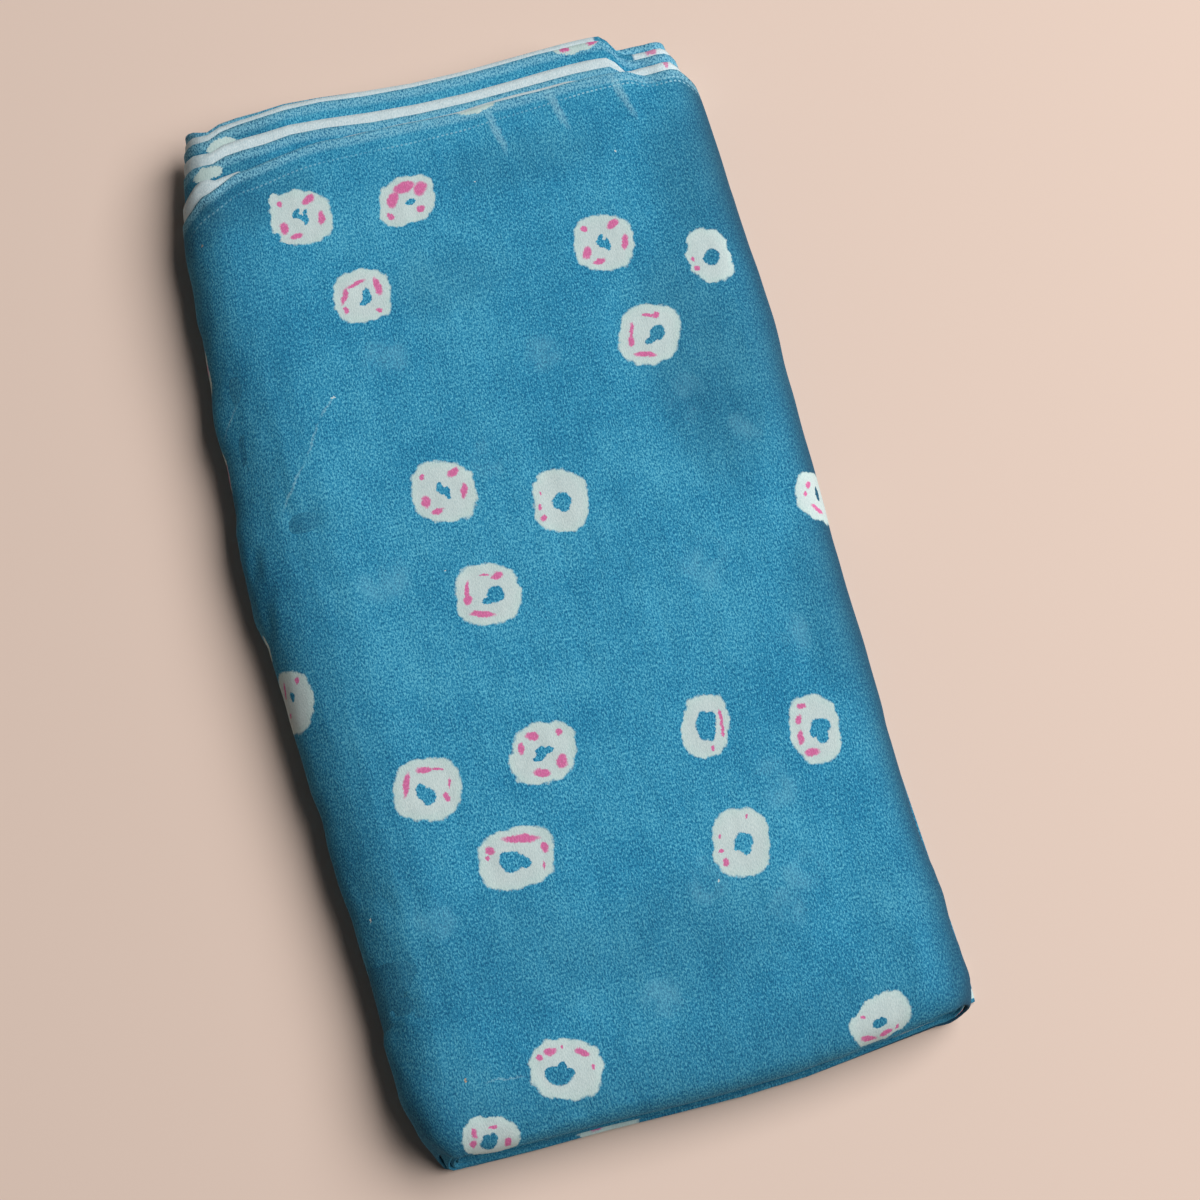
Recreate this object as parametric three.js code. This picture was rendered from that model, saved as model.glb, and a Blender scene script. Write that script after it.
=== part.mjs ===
// A length of printed mulmul cotton, doubled across its width and wound flat.
// Millimetres, +Z up. The centre fold lies at -Y, the two selvedges at +Y, and
// the winding turns over at -X and +X. The underside rests flat on z = 0.
import * as THREE from 'three';

// ---- named sizes -------------------------------------------------------
const PLY = 1.1;              // thickness of one ply of cloth
const GAP = 0.32;             // air between neighbouring plies
const WRAPS = 8;              // turns of the doubled cloth
const HALF_WIDTH = 150;       // centre line to the side folds, before the outline table
const FREE_END_OUT = 2.6;     // how far the outer free end shows past the side fold
const TOP_SHARES = [0, 0.14, 0.48, 0.915, 0.97];  // facet stations across a top pass, from the left
const UNDER_SHARES = [0, 0.32, 0.7];             // facet stations across an under pass, from the right
const RIGHT_STEP = [0.6045, 0.6165];              // turn count over which the upper selvedges step in at the right dip
const CELLS_TURN = 5;         // facets round one side fold
const CELLS_PLY = 6;          // facets along one ply, fold to selvedge
const CELLS_FOLD = 3;         // facets round the small centre fold

const PITCH = 2 * (PLY + GAP);          // one doubled layer with its air
const HEIGHT = 2 * WRAPS * PITCH;       // stack before it is pressed
const PLY_OFFSET = (PLY + GAP) / 2;     // ply centre from the doubled layer's middle

// Where each wrap's selvedges and centre fold lie in Y, one row per wrap from
// the outside in. b = outer ply, a = inner ply, f = centre fold, read under the
// bundle, round the left fold, on top and round the right fold.
const WRAP_ROWS = [
  { under_b: 273, under_a: 279, under_f: -281, left_b: 280, left_a: 289, left_f: -267, top_b: 285, top_a: 287, top_f: -284, right_b: 283, right_a: 284, right_f: -281 },
  { under_b: 277, under_a: 281, under_f: -280, left_b: 306.5, left_a: 315, left_f: -281, top_b: 291, top_a: 297.5, top_f: -288, right_b: 284, right_a: 290.5, right_f: -280 },
  { under_b: 284, under_a: 288, under_f: -282, left_b: 321, left_a: 325, left_f: -283, top_b: 309.5, top_a: 312.5, top_f: -289, right_b: 297, right_a: 301.5, right_f: -279 },
  { under_b: 289, under_a: 292, under_f: -279, left_b: 330, left_a: 318, left_f: -280, top_b: 313, top_a: 309, top_f: -287, right_b: 306.5, right_a: 300, right_f: -277 },
  { under_b: 292, under_a: 287, under_f: -283, left_b: 307, left_a: 312, left_f: -278, top_b: 307, top_a: 311, top_f: -285, right_b: 294, right_a: 298, right_f: -276 },
  { under_b: 289, under_a: 294, under_f: -280, left_b: 309, left_a: 305, left_f: -279, top_b: 309, top_a: 304, top_f: -286, right_b: 292, right_a: 290, right_f: -278 },
  { under_b: 295, under_a: 290, under_f: -282, left_b: 303, left_a: 307, left_f: -277, top_b: 303, top_a: 308, top_f: -284, right_b: 295, right_a: 293, right_f: -277 },
  { under_b: 298, under_a: 293, under_f: -281, left_b: 300, left_a: 304, left_f: -280, top_b: 301, top_a: 305, top_f: -285, right_b: 293, right_a: 296, right_f: -279 },
];

// How the upper selvedges curve in plan, and how the fold end curves, by x.
const SELVEDGE_CURVE = [
  { x: -150, dy: -18 }, { x: -134, dy: -11.5 }, { x: -112, dy: -4.2 }, { x: -75, dy: 0.6 },
  { x: 10, dy: -3 }, { x: 85, dy: -1 }, { x: 112, dy: -2 }, { x: 124, dy: -6 }, { x: 138, dy: -6 }, { x: 150, dy: -15 },
];
const FOLD_CURVE = [
  { x: -150, dy: 10 }, { x: -138, dy: 4 }, { x: -110, dy: 0.5 }, { x: -60, dy: 0 },
  { x: 30, dy: -0.5 }, { x: 100, dy: 0.5 }, { x: 132, dy: 4 }, { x: 150, dy: 15 },
];

// The side outline by y: left and right reach from the centre line.
const OUTLINE = [
  { y: -290, left: 149, right: 147 }, { y: -250, left: 154, right: 150.5 }, { y: -215, left: 152.5, right: 149 },
  { y: -150, left: 155, right: 147 }, { y: -60, left: 158, right: 148 }, { y: 10, left: 161, right: 148.5 },
  { y: 80, left: 163, right: 150 }, { y: 125, left: 159.5, right: 151.5 }, { y: 170, left: 157, right: 151.5 },
  { y: 240, left: 153, right: 151 }, { y: 320, left: 148, right: 147 },
];

// How far the stack is pressed down along y, as a share of its height.
const PRESS = [
  { y: -292, share: 0.86 }, { y: -278, share: 0.91 }, { y: -258, share: 0.945 }, { y: -200, share: 0.955 },
  { y: -60, share: 0.965 }, { y: 60, share: 0.96 }, { y: 200, share: 0.95 }, { y: 262, share: 0.935 }, { y: 320, share: 0.9 },
];

// Soft hollows (negative) and swells of the upper side: centre, reach and depth in mm.
const HOLLOWS = [
  { x: 123, y: 300, rx: 10, ry: 26, dz: -5.0 },
  { x: -133, y: 92, rx: 22, ry: 20, dz: 1.6 },
  { x: -128, y: 70, rx: 12, ry: 9, dz: -2.2 },
  { x: -140, y: -182, rx: 18, ry: 8, dz: -1.8 },
  { x: 30, y: -20, rx: 90, ry: 150, dz: 0.9 },
  { x: 138, y: -235, rx: 9, ry: 40, dz: -1.4 },
];

// ---- small helpers -----------------------------------------------------
const smooth = (t) => t * t * (3 - 2 * t);

// Smooth reading of one column of a table whose rows run upward in `key`.
function read(rows, key, column, at) {
  if (at <= rows[0][key]) return rows[0][column];
  for (let i = 1; i < rows.length; i += 1) {
    if (at <= rows[i][key]) {
      const t = (at - rows[i - 1][key]) / (rows[i][key] - rows[i - 1][key]);
      return rows[i - 1][column] + (rows[i][column] - rows[i - 1][column]) * smooth(t);
    }
  }
  return rows[rows.length - 1][column];
}

// ---- the winding, seen along Y -----------------------------------------
// Stations from the outer free end inward. Each has its place, its outward
// normal and its turn count (whole = under, .25 left, .5 top, .75 right).
function winding() {
  const leftX = -HALF_WIDTH + (HEIGHT / 2 - PITCH / 2) + PLY + GAP / 2;
  const rightX = HALF_WIDTH - (HEIGHT / 2 - PITCH) - PLY - GAP / 2;
  const stations = [];
  const put = (x, z, nx, nz, turn) => stations.push({ x, z, nx, nz, turn });
  for (let w = 0; w < WRAPS; w += 1) {
    const zUnder = PITCH * (w + 0.5);
    const zTop = HEIGHT - PITCH * (w + 0.5);
    const startX = w === 0 ? HALF_WIDTH + FREE_END_OUT : rightX;
    // under pass, right to left
    for (const t of UNDER_SHARES) {
      const x = startX + (leftX - startX) * t;
      put(x, zUnder, 0, -1, w - (0.125 * x) / HALF_WIDTH);
    }
    // left turn, up
    const rLeft = (zTop - zUnder) / 2;
    for (let i = 0; i < CELLS_TURN; i += 1) {
      const a = (Math.PI * i) / CELLS_TURN;
      put(leftX - rLeft * Math.sin(a), HEIGHT / 2 - rLeft * Math.cos(a), -Math.sin(a), -Math.cos(a), w + 0.125 + 0.25 * (i / CELLS_TURN));
    }
    // top pass, left to right
    for (const t of TOP_SHARES) {
      put(leftX + (rightX - leftX) * t, zTop, 0, 1, w + 0.375 + 0.25 * t);
    }
    if (w < WRAPS - 1) {
      // right turn, down to the next under pass
      const zNext = PITCH * (w + 1.5);
      const rRight = (zTop - zNext) / 2;
      for (let i = 0; i < CELLS_TURN; i += 1) {
        const a = (Math.PI * i) / CELLS_TURN;
        put(rightX + rRight * Math.sin(a), (zTop + zNext) / 2 + rRight * Math.cos(a), Math.sin(a), Math.cos(a), w + 0.625 + 0.25 * (i / CELLS_TURN));
      }
    } else {
      put(rightX, zTop, 0, 1, w + 0.625);
    }
  }
  return stations;
}

// One row value at a turn count: under -> left -> top -> right -> next under.
function rowAt(turn, part) {
  const clamped = Math.max(0, Math.min(turn, WRAPS - 0.25));
  const quarter = clamped * 4;
  const q = Math.floor(quarter);
  const names = ['under', 'left', 'top', 'right'];
  const value = (k) => WRAP_ROWS[Math.min(Math.floor(k / 4), WRAPS - 1)][`${names[k % 4]}_${part}`];
  const last = WRAPS * 4 - 1;
  const k0 = Math.min(q, last);
  const k1 = Math.min(q + 1, last);
  let share = quarter - q;
  if (k0 % 4 === 2) {
    const phase = clamped - Math.floor(clamped);
    share = Math.min(1, Math.max(0, (phase - RIGHT_STEP[0]) / (RIGHT_STEP[1] - RIGHT_STEP[0])));
  }
  return value(k0) + (value(k1) - value(k0)) * smooth(share);
}

// ---- the doubled cloth across its width ---------------------------------
// Places from the inner ply's selvedge, round the centre fold, to the outer
// ply's selvedge: y, offset from the doubled layer's middle, and the normal.
function hairpin(station) {
  const upper = Math.min(1, Math.max(0, station.z / HEIGHT));
  const curveTop = read(SELVEDGE_CURVE, 'x', 'dy', station.x) * (0.35 + 0.65 * smooth(Math.min(1, 2 * upper)));
  const curveFold = read(FOLD_CURVE, 'x', 'dy', station.x);
  const yA = rowAt(station.turn, 'a') + curveTop;
  const yB = rowAt(station.turn, 'b') + curveTop;
  const yF = rowAt(station.turn, 'f') + curveFold + PLY_OFFSET + PLY / 2;
  const shares = [0, 0.09, 0.27, 0.5, 0.73, 0.91, 1];
  const out = [];
  for (let j = CELLS_PLY; j >= 1; j -= 1) out.push({ y: yF + (yA - yF) * shares[j], o: -PLY_OFFSET, ny: 0, no: -1 });
  for (let j = 0; j <= CELLS_FOLD; j += 1) {
    const a = -Math.PI / 2 + (Math.PI * j) / CELLS_FOLD;
    out.push({ y: yF - PLY_OFFSET * Math.cos(a), o: PLY_OFFSET * Math.sin(a), ny: -Math.cos(a), no: Math.sin(a) });
  }
  for (let j = 1; j <= CELLS_PLY; j += 1) out.push({ y: yF + (yB - yF) * shares[j], o: PLY_OFFSET, ny: 0, no: 1 });
  return out;
}

// ---- the bundle's own unevenness ----------------------------------------
function settle(x, y, z) {
  const side = smooth(Math.min(1, Math.max(0, (x + HALF_WIDTH) / (2 * HALF_WIDTH))));
  const left = read(OUTLINE, 'y', 'left', y) / HALF_WIDTH;
  const right = read(OUTLINE, 'y', 'right', y) / HALF_WIDTH;
  const nx = x * (left + (right - left) * side);
  let rise = read(PRESS, 'y', 'share', y);
  for (const h of HOLLOWS) {
    rise += (h.dz / HEIGHT) * Math.exp(-(((nx - h.x) / h.rx) ** 2) - ((y - h.y) / h.ry) ** 2);
  }
  return [nx, y, z * rise];
}

// ---- the closed solid ----------------------------------------------------
function clothGeometry() {
  const stations = winding();
  const columns = stations.map((s) => hairpin(s));
  const across = columns[0].length;
  const positions = [];
  const index = [];
  for (const side of [1, -1]) {
    stations.forEach((s, i) => {
      columns[i].forEach((c) => {
        const o = c.o + c.no * side * (PLY / 2);
        const y = c.y + c.ny * side * (PLY / 2);
        positions.push(...settle(s.x + s.nx * o, y, s.z + s.nz * o));
      });
    });
  }
  const count = stations.length * across;
  const at = (layer, i, j) => layer * count + i * across + j;
  const quad = (a, b, c, d) => index.push(a, b, c, a, c, d);
  for (let i = 0; i < stations.length - 1; i += 1) {
    for (let j = 0; j < across - 1; j += 1) {
      quad(at(0, i, j), at(0, i, j + 1), at(0, i + 1, j + 1), at(0, i + 1, j));
      quad(at(1, i, j), at(1, i + 1, j), at(1, i + 1, j + 1), at(1, i, j + 1));
    }
    // the two selvedge edges
    quad(at(0, i, 0), at(0, i + 1, 0), at(1, i + 1, 0), at(1, i, 0));
    quad(at(0, i, across - 1), at(1, i, across - 1), at(1, i + 1, across - 1), at(0, i + 1, across - 1));
  }
  // the two free ends
  const last = stations.length - 1;
  for (let j = 0; j < across - 1; j += 1) {
    quad(at(0, 0, j), at(1, 0, j), at(1, 0, j + 1), at(0, 0, j + 1));
    quad(at(0, last, j), at(0, last, j + 1), at(1, last, j + 1), at(1, last, j));
  }
  const geometry = new THREE.BufferGeometry();
  geometry.setAttribute('position', new THREE.Float32BufferAttribute(positions, 3));
  geometry.setIndex(index);
  // turn the faces outward if the solid came out inside out
  let six = 0;
  const p = new THREE.Vector3();
  const q = new THREE.Vector3();
  const r = new THREE.Vector3();
  const pos = geometry.getAttribute('position');
  for (let k = 0; k < index.length; k += 3) {
    p.fromBufferAttribute(pos, index[k]);
    q.fromBufferAttribute(pos, index[k + 1]);
    r.fromBufferAttribute(pos, index[k + 2]);
    six += p.dot(q.cross(r));
  }
  if (six < 0) {
    for (let k = 0; k < index.length; k += 3) [index[k + 1], index[k + 2]] = [index[k + 2], index[k + 1]];
    geometry.setIndex(index);
  }
  // centre on the footprint, underside on z = 0
  geometry.computeBoundingBox();
  const box = geometry.boundingBox;
  geometry.translate(-(box.min.x + box.max.x) / 2, -(box.min.y + box.max.y) / 2, -box.min.z);
  geometry.computeVertexNormals();
  return geometry;
}

// ---- the object ----------------------------------------------------------
const mulmul = new THREE.MeshStandardMaterial({ color: 0x2f7fa6, roughness: 0.85, metalness: 0 });
const cloth = new THREE.Mesh(clothGeometry(), mulmul);
cloth.name = 'cloth';

const object = new THREE.Group();
object.name = 'printed_mulmul';
object.add(cloth);

export default object;
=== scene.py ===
# A length of printed mulmul cotton, doubled across its width and wound flat.
# Metres in the shared frame; the tables are in millimetres, in the bundle's own
# drawing frame, and SHIFT moves them to the shared one.
import bpy
import math
import numpy as np
from mathutils import Matrix, Vector


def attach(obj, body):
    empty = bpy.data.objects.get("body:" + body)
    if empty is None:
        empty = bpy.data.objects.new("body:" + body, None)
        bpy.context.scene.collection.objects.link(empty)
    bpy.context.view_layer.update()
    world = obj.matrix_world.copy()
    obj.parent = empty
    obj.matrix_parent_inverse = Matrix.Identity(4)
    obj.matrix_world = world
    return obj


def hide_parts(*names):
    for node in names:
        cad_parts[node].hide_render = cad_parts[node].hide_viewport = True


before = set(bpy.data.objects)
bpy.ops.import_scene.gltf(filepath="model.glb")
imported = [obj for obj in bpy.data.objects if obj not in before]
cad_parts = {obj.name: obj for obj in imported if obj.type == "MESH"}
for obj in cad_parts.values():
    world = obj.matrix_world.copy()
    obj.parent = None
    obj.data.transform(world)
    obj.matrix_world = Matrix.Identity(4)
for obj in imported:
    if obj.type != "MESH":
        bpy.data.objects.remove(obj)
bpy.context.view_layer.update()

MM = 0.001
SHIFT = (2.787, -13.579, -0.145)     # drawing frame to shared frame

# ---- named sizes (mm) -----------------------------------------------------
PLY = 1.1                            # the solid's ply
GAP = 0.32
THIN = 0.62                          # the shown ply, inside the bundle
THIN_EDGE = 0.30                     # and at its selvedges
WRAPS = 8
HALF_WIDTH = 150.0
FREE_END_OUT = 2.6
PITCH = 2 * (PLY + GAP)
HEIGHT = 2 * WRAPS * PITCH
PLY_OFFSET = (PLY + GAP) / 2
RIGHT_STEP = (0.6045, 0.6165)
SELVEDGE_WHITE = 7.6                 # unprinted margin on the inner ply

# One row per wrap from the outside in: selvedges (b outer ply, a inner ply)
# and centre fold (f) in Y, read under, round the left fold, on top, round the right.
WRAP_ROWS = [
    dict(under_b=273, under_a=279, under_f=-284, left_b=280, left_a=289, left_f=-286, top_b=285, top_a=287, top_f=-292.5, right_b=283, right_a=284, right_f=-289),
    dict(under_b=277, under_a=281, under_f=-284.5, left_b=306.5, left_a=315, left_f=-287, top_b=291, top_a=297.5, top_f=-291.5, right_b=284, right_a=290.5, right_f=-287),
    dict(under_b=284, under_a=288, under_f=-285, left_b=321, left_a=325, left_f=-286, top_b=309.5, top_a=312.5, top_f=-291, right_b=297, right_a=301.5, right_f=-285),
    dict(under_b=289, under_a=292, under_f=-283, left_b=330, left_a=318, left_f=-284, top_b=313, top_a=309, top_f=-290.5, right_b=306.5, right_a=300, right_f=-283),
    dict(under_b=292, under_a=287, under_f=-284, left_b=307, left_a=312, left_f=-276, top_b=305, top_a=308, top_f=-273.5, right_b=296, right_a=298, right_f=-276),
    dict(under_b=289, under_a=294, under_f=-281, left_b=309, left_a=305, left_f=-276, top_b=306, top_a=304, top_f=-272.5, right_b=294, right_a=290, right_f=-275),
    dict(under_b=295, under_a=290, under_f=-283, left_b=303, left_a=307, left_f=-275, top_b=303, top_a=306, top_f=-274.0, right_b=295, right_a=293, right_f=-276),
    dict(under_b=298, under_a=293, under_f=-282, left_b=300, left_a=304, left_f=-275, top_b=301, top_a=304, top_f=-273.0, right_b=293, right_a=296, right_f=-275),
]
# How far the inner ply passes the outer one at the selvedge, first wrap: turn, mm.
FIRST_SLIP = [
    (0.0, 6.0), (0.20, 8.0), (0.28, 10.4), (0.33, 11.6), (0.355, 10.0), (0.374, 5.4), (0.386, 1.4), (0.394, -1.2), (0.430, -0.8),
    (0.452, 0.5), (0.500, 1.5), (0.545, 2.1), (0.572, 1.4), (0.590, -0.8), (0.640, -0.8), (0.75, 1.0), (1.0, 2.0),
]
SELVEDGE_CURVE = [(-150, -18), (-134, -11.5), (-112, -4.2), (-75, 0.6), (10, -3), (85, -1), (112, -2), (124, -6), (138, -6), (150, -15)]
VALLEY = (112.5, 4.6, 9.5)           # a dip in the inner wraps' selvedges: x, half width, depth
FOLD_CURVE = [(-150, 9), (-138, 3), (-110, 0.3), (-60, 0), (0, -1.6), (40, -1.4), (70, 0.8), (96, 4.2), (120, 7.0), (134, 9.2), (150, 14)]
# The outer wraps' centre folds curl down over the end: where the curl starts,
# the outer radius, and how much of it there is (turn of the winding, share).
CURL_START, CURL_RADIUS = -268.5, 14.0
CURL_SHARE = [(0.0, 0.0), (0.16, 0.06), (0.30, 0.75), (0.375, 1.0), (0.625, 1.0), (0.70, 0.75), (0.86, 0.06), (1.0, 0.0)]
OUTLINE = [  # y, left reach, right reach
    (-290, 149, 147), (-250, 154, 150.5), (-215, 152.5, 149), (-150, 155, 147), (-60, 158, 148), (10, 161, 148.5),
    (80, 163, 150), (125, 159.5, 151.5), (170, 157, 151.5), (240, 153, 151), (320, 148, 147),
]
# Bulges of the two long sides (mm out): y, left at mid height, left low, right at mid height.
SIDES = [
    (-292, 0, 0, 3.5), (-275, -3.5, 0, 3.5), (-262, -3.0, 0.5, 1.0), (-240, 1.6, 0, -1.0), (-214, 3.4, 0, 1.0), (-203, 0.6, 0.5, 0),
    (-191, -2.4, 0, -1.0), (-180, 0.2, 0, -1.5), (-150, 0.6, 0, -1.0), (-122, 2.6, 0, -1.0), (-105, 2.6, 0, 0), (-88, 1.6, 0, 0), (-70, 3.0, 0, 0), (-42, 3.4, 0, 0),
    (-15, 2.0, 1.0, 0.5), (12, 1.6, 1.6, 1.0), (19, 2.0, 3.5, 1.0), (29, 2.6, 5.0, 1.0), (44, 3.0, 3.2, 1.0), (62, 3.4, 1.0, 1.2), (76, 2.6, 0, 1.2),
    (92, 0.0, 0.6, 1.2), (111, 2.0, 0, 1.6), (147, 4.6, 0, 1.6), (170, 2.6, 0, 0.8), (194, 1.8, 0, 0.4), (206, 3.0, 0, 0), (232, 2.4, 0, 0),
    (262, 0.4, 0, 0), (285, 0, 0, 0), (320, 0, 0, 0),
]
# The left shoulder is pressed down: x and share of the upper half, then y and how much.
SHOULDER = [(-160, 0.36), (-150, 0.32), (-144, 0.26), (-137, 0.17), (-127, 0.06), (-112, 0.0)]
SHOULDER_ALONG = [(-292, 0), (-250, 0.1), (-200, 0.9), (-130, 0.9), (-60, 0.65), (30, 0.6), (95, 1.0), (150, 0.85), (205, 0.1), (320, 0)]
PRESS = [(-292, 0.86), (-278, 0.91), (-258, 0.945), (-200, 0.955), (-60, 0.965), (60, 0.96), (200, 0.95), (262, 0.935), (320, 0.9)]
# Broad hollows and swells of the upper side: x, y, reach x, reach y, height.
HOLLOWS = [
    (123, 300, 10, 26, -5.0), (-133, 92, 22, 20, 1.6), (-128, 70, 12, 9, -2.2),
    (-140, -182, 18, 8, -1.8), (30, -20, 90, 150, 0.9), (138, -235, 9, 40, -1.4),
]
# Creases placed one by one on the upper side: x and y of both ends, half width, height (negative is a trough) and how
# gently each end fades (mm).
CREASES = [
    (-92.6, 137, -107, 123, 1.3, 0.42, 9), (-106, 124, -118, 103, 1.3, 0.46, 6), (-117, 105, -140, 76, 1.3, 0.42, 9),
    (-96, 136, -110, 121, 1.2, -0.34, 9), (-109, 122, -121, 101, 1.2, -0.36, 6), (-120, 103, -143, 74, 1.2, -0.34, 9),
    (-119.6, 155.6, -131.6, 143, 1.1, -0.32, 6), (-131, 144, -151, 124, 1.1, -0.40, 7), (-128, 148, -149, 128, 1.3, 0.26, 8),
    (28.6, 284, 33, 248, 1.7, 0.34, 10),
    (64, 290, 71, 254, 1.7, 0.32, 10), (101, 290, 110, 249, 1.9, 0.38, 10),
    (-156, 43, -160.5, 12, 1.8, -1.5, 9), (-153, 34, -157, 12, 2.6, 0.7, 8), (-157, 66, -162, 46, 2.2, -1.6, 6),
    (-152, -186, -139, -203, 2.6, -3.2, 6), (-150, -196, -137, -212, 3.0, 1.0, 7), (-139, -204, -126, -212, 3.0, -0.9, 8),
    (-99, -277.2, -66, -276, 0.9, -0.9, 5), (-68, -276, -33, -273.6, 1.0, -1.3, 4), (-35, -273.6, 12, -273.2, 1.0, -1.3, 6),
    (12, -273.2, 44, -272.6, 1.2, -0.7, 14), (-112, -273.8, -60, -272.4, 0.7, -0.42, 10), (-60, -272, 20, -269.5, 0.7, -0.36, 16),
    (-118, -277, -96, -276, 0.7, -0.5, 5), (-124, -280, -92, -279, 0.7, -0.5, 5), (-120, -270.5, -84, -269, 0.8, -0.26, 10),
    (143, -243, 137, -268, 2.2, -2.0, 8), (148, -236, 143, -262, 2.4, 1.0, 8), (135, -232, 131, -270, 3.4, -0.9, 12), (127, -228, 121, -268, 4.0, 0.5, 14),
    (54, 52, 53.6, 33, 1.9, -0.34, 10), (33.5, 8, 33.5, -18, 2.0, -0.36, 9), (46.4, -10, 43.7, -62, 2.0, -0.36, 12),
    (-29, -22, -28, -52, 2.2, -0.26, 10), (20, 34, 12, -30, 2.4, -0.16, 16), (70, 20, 66, -40, 2.6, -0.18, 16), (6, 90, -2, -60, 6.0, -0.30, 30),
    (-24, 210, -18, 90, 9.0, 0.35, 40), (60, 240, 70, 110, 10.0, -0.35, 40),
    (112, 60, 104, -90, 9.0, 0.35, 40), (-96, 30, -90, -120, 10.0, -0.35, 40),
    (-110, -215, -20, -236, 7.0, -0.30, 30), (10, -200, 90, -228, 8.0, 0.30, 30),
    (-147, 262, -108, 277, 1.1, -0.55, 9), (-144, 255, -106, 271, 1.4, 0.45, 9), (-138, 247, -112, 262, 1.3, -0.35, 9),
    (-146, 268, -128, 246, 2.6, -0.7, 8), (-140, 272, -121, 252, 2.2, 0.5, 8), (-148, 252, -134, 232, 2.4, -0.5, 8), (-126, 262, -100, 268, 2.2, 0.4, 10),
    (-150, 200, -128, 172, 4.0, -0.45, 14), (-152, 108, -134, 92, 3.4, -0.5, 12), (-150, 92, -120, 60, 4.5, -0.45, 16), (-142, 84, -112, 44, 3.6, 0.45, 16),
    (-150, -8, -126, -34, 5.0, -0.4, 14), (-152, -128, -130, -150, 3.6, -0.7, 10), (-149, -146, -131, -164, 3.2, 0.5, 10), (-146, -226, -126, -250, 3.6, -0.6, 12),
]


def smooth(t):
    t = np.clip(t, 0.0, 1.0)
    return t * t * (3 - 2 * t)


def read(rows, at, column=1):
    """Smooth reading of one column of a table whose first column runs upward."""
    at = np.asarray(at, float)
    keys = [r[0] for r in rows]
    vals = [r[column] for r in rows]
    out = np.full(at.shape, float(vals[0]))
    for i in range(1, len(rows)):
        t = (at - keys[i - 1]) / (keys[i] - keys[i - 1])
        seg = vals[i - 1] + (vals[i] - vals[i - 1]) * smooth(t)
        out = np.where(at > keys[i - 1], seg, out)
    return out


class Waves:
    """Smooth seeded unevenness: value noise on a lattice, blended bicubically enough."""

    def __init__(self, seed, cell):
        self.cell = cell
        self.grid = np.random.default_rng(seed).uniform(-1, 1, (256, 256))

    def __call__(self, x, y):
        gx, gy = np.asarray(x) / self.cell + 97.3, np.asarray(y) / self.cell + 61.7
        ix, iy = np.floor(gx).astype(int), np.floor(gy).astype(int)
        fx, fy = smooth(gx - ix), smooth(gy - iy)
        g = self.grid
        a = g[ix % 256, iy % 256]
        b = g[(ix + 1) % 256, iy % 256]
        c = g[ix % 256, (iy + 1) % 256]
        d = g[(ix + 1) % 256, (iy + 1) % 256]
        return (a * (1 - fx) + b * fx) * (1 - fy) + (c * (1 - fx) + d * fx) * fy


broad, middling, fine_wave, edge_wave, side_wave = (Waves(s, c) for s, c in ((3, 95), (5, 34), (8, 13), (13, 21), (21, 46)))


# ---- the winding, seen along Y ---------------------------------------------
def winding(top_cells, turn_cells, under_cells):
    """Stations x, z, normal x, normal z, turn count, arc length, wrap; counts per wrap."""
    left_x = -HALF_WIDTH + (HEIGHT / 2 - PITCH / 2) + PLY + GAP / 2
    right_x = HALF_WIDTH - (HEIGHT / 2 - PITCH) - PLY - GAP / 2
    out = []
    for w in range(WRAPS):
        z_under, z_top = PITCH * (w + 0.5), HEIGHT - PITCH * (w + 0.5)
        start = HALF_WIDTH + FREE_END_OUT if w == 0 else right_x
        n = under_cells(w)
        for i in range(n):
            x = start + (left_x - start) * i / n
            out.append((x, z_under, 0, -1, w - 0.125 * x / HALF_WIDTH, w))
        r = (z_top - z_under) / 2
        n = turn_cells(w)
        for i in range(n):
            a = math.pi * i / n
            out.append((left_x - r * math.sin(a), HEIGHT / 2 - r * math.cos(a), -math.sin(a), -math.cos(a), w + 0.125 + 0.25 * i / n, w))
        xs = top_cells(w)
        for t in xs:
            out.append((left_x + (right_x - left_x) * t, z_top, 0, 1, w + 0.375 + 0.25 * t, w))
        if w < WRAPS - 1:
            z_next = PITCH * (w + 1.5)
            r = (z_top - z_next) / 2
            for i in range(n):
                a = math.pi * i / n
                out.append((right_x + r * math.sin(a), (z_top + z_next) / 2 + r * math.cos(a), math.sin(a), math.cos(a), w + 0.625 + 0.25 * i / n, w))
        else:
            out.append((right_x, z_top, 0, 1, w + 0.625, w))
    s = np.array(out, float)
    step = np.hypot(np.diff(s[:, 0]), np.diff(s[:, 1]))
    arc = np.concatenate([[0], np.cumsum(step)])
    # arc length counts from the middle of the first top pass
    first = np.argmin(np.abs(s[:, 4] - 0.375))
    arc = arc - arc[first] + left_x
    return s, arc


def row_at(turn, part):
    names = ("under", "left", "top", "right")
    flat = [WRAP_ROWS[k // 4][f"{names[k % 4]}_{part}"] for k in range(WRAPS * 4)]
    q = min(max(turn, 0.0), WRAPS - 0.25) * 4
    k0 = min(int(q), WRAPS * 4 - 1)
    k1 = min(k0 + 1, WRAPS * 4 - 1)
    share = q - k0
    if k0 % 4 == 2:
        phase = turn - math.floor(turn)
        share = (phase - RIGHT_STEP[0]) / (RIGHT_STEP[1] - RIGHT_STEP[0])
    return flat[k0] + (flat[k1] - flat[k0]) * float(smooth(share))


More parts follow.
